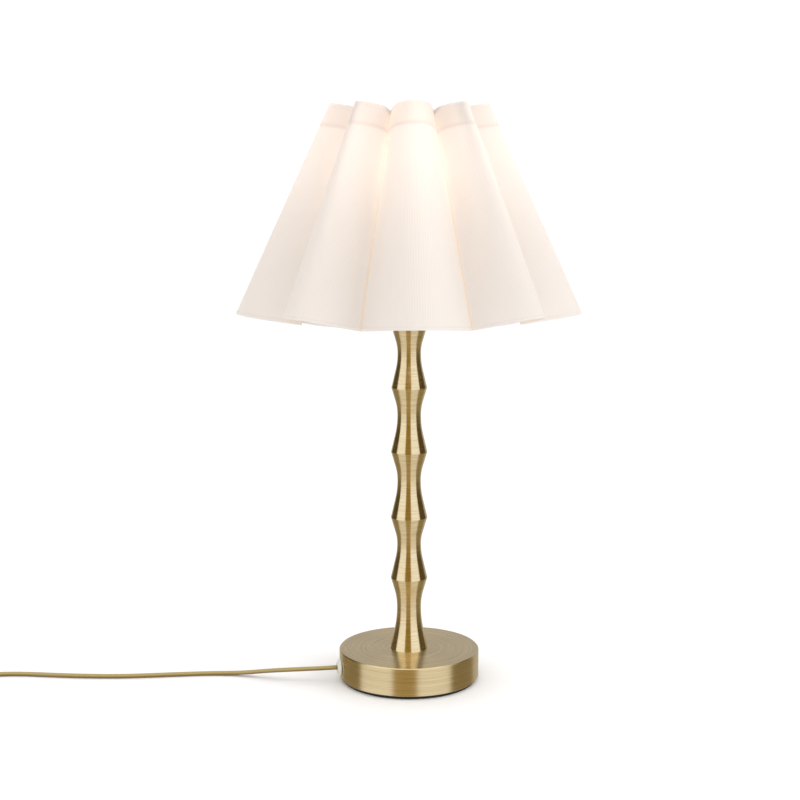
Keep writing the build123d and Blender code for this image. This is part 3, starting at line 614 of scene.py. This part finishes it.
def add_bulb_light():
    """The lamp's own light, high in the globe; the globe casts no shadow of it."""
    low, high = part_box("bulb_globe")
    data = bpy.data.lights.new("bulb_light", "POINT")
    data.color = LAMP_COLOUR
    data.energy = LAMP_POWER
    data.shadow_soft_size = LAMP_SIZE
    light = bpy.data.objects.new("bulb_light", data)
    light.location = (0.0, 0.0, high[2] - (high[0] - low[0]) / 6)
    light.visible_camera = False
    light.visible_glossy = False
    bpy.context.collection.objects.link(light)
    light.parent = frame["bodies"]["bulb"]
    light.matrix_parent_inverse = frame["bodies"]["bulb"].matrix_world.inverted()
    nodes["bulb_globe"].visible_shadow = False


# --- cord ----------------------------------------------------------------------------

CORD_WIDTH, CORD_THICK = 0.0054, 0.0032
SECTION_ARC_POINTS = 11
SPLINE_STEPS = 6
# base to switch, ending 2 mm inside the switch's port
ROUTE_TO_SWITCH = [
    (-0.0643, -0.0125, 0.0130),
    (-0.0771, -0.0150, 0.0130),
    (-0.0990, -0.0135, 0.0116),
    (-0.1260, -0.0055, 0.0076),
    (-0.1520, 0.0036, 0.0024),
    (-0.1800, 0.0052, 0.0017),
    (-0.2180, 0.0008, 0.0018),
    (-0.2620, -0.0040, 0.0017),
    (-0.3080, -0.0020, 0.0018),
    (-0.3520, 0.0040, 0.0017),
    (-0.3840, 0.0010, 0.0018),
    (-0.4020, -0.0130, 0.0022),
    (-0.4070, -0.0330, 0.0062),
    (-0.4070, -0.0520, 0.0070),
]
# switch to coil, starting 2 mm inside the other port
ROUTE_TO_COIL = [
    (-0.4070, -0.1080, 0.0070),
    (-0.4070, -0.1260, 0.0064),
    (-0.4125, -0.1430, 0.0042),
    (-0.4290, -0.1555, 0.0019),
    (-0.4500, -0.1560, 0.0017),
    (-0.4670, -0.1440, 0.0018),
    (-0.4730, -0.1245, 0.0017),
    (-0.4710, -0.0920, 0.0018),
    (-0.4675, -0.0540, 0.0017),
    (-0.4695, -0.0160, 0.0018),
    (-0.4684, 0.0110, 0.0017),
    (-0.4682, 0.0360, 0.0017),
]
ROUTE_TO_PLUG = [
    (-0.4682, 0.0670, 0.0050),
    (-0.4690, 0.0760, 0.0057),
    (-0.4680, 0.0870, 0.0068),
    (-0.4680, 0.0980, 0.0068),
]
COIL_CENTRE = (-0.4320, 0.0520)
COIL_OUTER_TURN = 0.0364
TURN_PITCH = 0.0063
TURNS_PER_LAYER = 3
POINTS_PER_TURN = 24
LAYER_HEIGHTS = (0.0017, 0.0050)
CHANGE_STARTS = 0.70


def smooth(value):
    t = min(1.0, max(0.0, value))
    return t * t * (3 - 2 * t)


def coil_points():
    """Two flat layers of round turns: three inwards on the table, three outwards on top.

    Each turn keeps its radius up to CHANGE_STARTS, then moves to the next place.
    """
    points = []
    last = 2 * TURNS_PER_LAYER - 1
    for index in range(2 * TURNS_PER_LAYER * POINTS_PER_TURN + 1):
        turns = index / POINTS_PER_TURN
        turn = min(int(turns), last)
        change = smooth((turns - turn - CHANGE_STARTS) / (1 - CHANGE_STARTS))
        climbing = turn == TURNS_PER_LAYER - 1
        if turn < TURNS_PER_LAYER:
            place = turn + (0 if climbing else change)
        else:
            place = last - turn - (change if turn < last else 0)
        radius = COIL_OUTER_TURN - TURN_PITCH * place
        level = change if climbing else float(turn >= TURNS_PER_LAYER)
        height = LAYER_HEIGHTS[0] + (LAYER_HEIGHTS[1] - LAYER_HEIGHTS[0]) * level
        angle = math.tau * turns
        points.append((
            COIL_CENTRE[0] - radius * math.cos(angle),
            COIL_CENTRE[1] + radius * math.sin(angle),
            height,
        ))
    return points


def smooth_line(points):
    """The points of a smooth curve through space, from a NURBS spline of the route."""
    curve = bpy.data.curves.new("route", "CURVE")
    curve.dimensions = "3D"
    spline = curve.splines.new("NURBS")
    spline.points.add(len(points) - 1)
    for point, place in zip(spline.points, points):
        point.co = (*place, 1.0)
    spline.order_u = 3
    spline.use_endpoint_u = True
    spline.resolution_u = SPLINE_STEPS
    holder = bpy.data.objects.new("route", curve)
    mesh = bpy.data.meshes.new_from_object(holder)
    line = [vertex.co.copy() for vertex in mesh.vertices]
    bpy.data.meshes.remove(mesh)
    bpy.data.objects.remove(holder)
    bpy.data.curves.remove(curve)
    return line


def twin_section():
    """(across, up) points of two round cores side by side, joined by a shallow web."""
    radius = CORD_THICK / 2
    offset = CORD_WIDTH / 2 - radius
    reach = math.pi - math.acos(offset / radius)
    section = []
    for side, start in ((1, 0.0), (-1, math.pi)):
        for k in range(SECTION_ARC_POINTS):
            angle = start - reach + 2 * reach * k / (SECTION_ARC_POINTS - 1)
            section.append((side * offset + radius * math.cos(angle), radius * math.sin(angle)))
    return section


def flat_cord(name, points, material):
    """The flat cord swept along a route with its wide side level."""
    line = smooth_line(points)
    section = twin_section()
    around = len(section)
    vertices = []
    for index, place in enumerate(line):
        along = line[min(index + 1, len(line) - 1)] - line[max(index - 1, 0)]
        across = Vector((0, 0, 1)).cross(along).normalized()
        up = along.cross(across).normalized()
        vertices += [place + across * side + up * rise for side, rise in section]
    faces = [tuple(range(around))[::-1]]
    for ring in range(len(line) - 1):
        for k in range(around):
            beside = (k + 1) % around
            faces.append((
                ring * around + k, ring * around + beside,
                (ring + 1) * around + beside, (ring + 1) * around + k,
            ))
    faces.append(tuple((len(line) - 1) * around + k for k in range(around)))
    return new_piece(name, vertices, faces, material), line


def add_cords(material):
    first, first_line = flat_cord("cord_base_to_switch", ROUTE_TO_SWITCH, material)
    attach(first, "lamp")
    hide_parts("cord_to_switch")
    route = ROUTE_TO_COIL + coil_points() + ROUTE_TO_PLUG
    second, second_line = flat_cord("cord_switch_to_plug", route, material)
    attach(second, "lamp")
    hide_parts("cord_to_coil", "cord_coil", "cord_to_plug")


# --- the CAD pieces' materials -------------------------------------------------------


def slot_materials():
    brass_low, brass_high = (0.57, 0.44, 0.22), (0.92, 0.75, 0.46)
    cord = tinted_plastic_painted_shade("gold_cord_plastic")
    return {
        "brushed_brass": brushed_brass("base_brass", brass_low, brass_high, 0.24, BRASS_LINE_DEPTH),
        "turned_brass": brushed_brass("column_brass", brass_low, brass_high, 0.17, BRASS_LINE_DEPTH),
        "pad": moulded("pad_foam", (0.012, 0.012, 0.012), 0.75, 2200.0),
        "iron": plain_metal("cast_iron", (0.13, 0.13, 0.13), 0.62, 700.0),
        "zinc": plain_metal("zinc_plate", (0.62, 0.64, 0.66), 0.36, 900.0),
        "grommet": moulded("grommet_plastic", (0.80, 0.80, 0.74), 0.28, 900.0, coat=0.4, glow=0.4),
        "gold_cord": cord,
        "gold_plastic": moulded("switch_plastic", (0.42, 0.31, 0.10), 0.26, 1400.0, coat=0.5),
        "holder_plastic": moulded("holder_plastic", (0.82, 0.81, 0.78), 0.38, 1300.0, coat=0.1),
        "porcelain": moulded("porcelain", (0.84, 0.83, 0.79), 0.18, 500.0, coat=0.5),
        "contact_brass": plain_metal("contact_brass", (0.72, 0.54, 0.26), 0.28, 1500.0),
        "copper": plain_metal("copper_strand", (0.72, 0.34, 0.18), 0.30, 2400.0),
        "bulb_metal": plain_metal("bulb_cap_metal", (0.70, 0.70, 0.69), 0.30, 1100.0),
        "bulb_plastic": moulded("bulb_housing_plastic", (0.86, 0.86, 0.85), 0.42, 1600.0),
        "board": moulded("led_board", (0.88, 0.88, 0.88), 0.50, 1800.0),
        "opal": opal_globe("opal_globe"),
        "white_wire": moulded("white_coated_wire", (0.84, 0.83, 0.80), 0.42, 1500.0),
        "nickel": plain_metal("nickel_pin", (0.66, 0.62, 0.55), 0.20, 1500.0),
        "collar": moulded("pin_collar", (0.02, 0.02, 0.02), 0.45, 1600.0),
    }


def dress_nodes(materials):
    for subpart in frame["record"]["subparts"]:
        node = nodes[subpart["node"]]
        material = materials.get(subpart["material_slot"])
        for slot in node.material_slots if material else ():
            slot.material = material


# --- the scene -----------------------------------------------------------------------

bpy.context.scene.view_settings.view_transform = "Standard"
add_camera()
add_world()
add_floor()
add_area_light("key_panel", KEY_PLACE, KEY_SIZE, KEY_POWER)
materials = slot_materials()
dress_nodes(materials)
add_cords(materials["gold_cord"])
add_shade()
add_bulb_light()
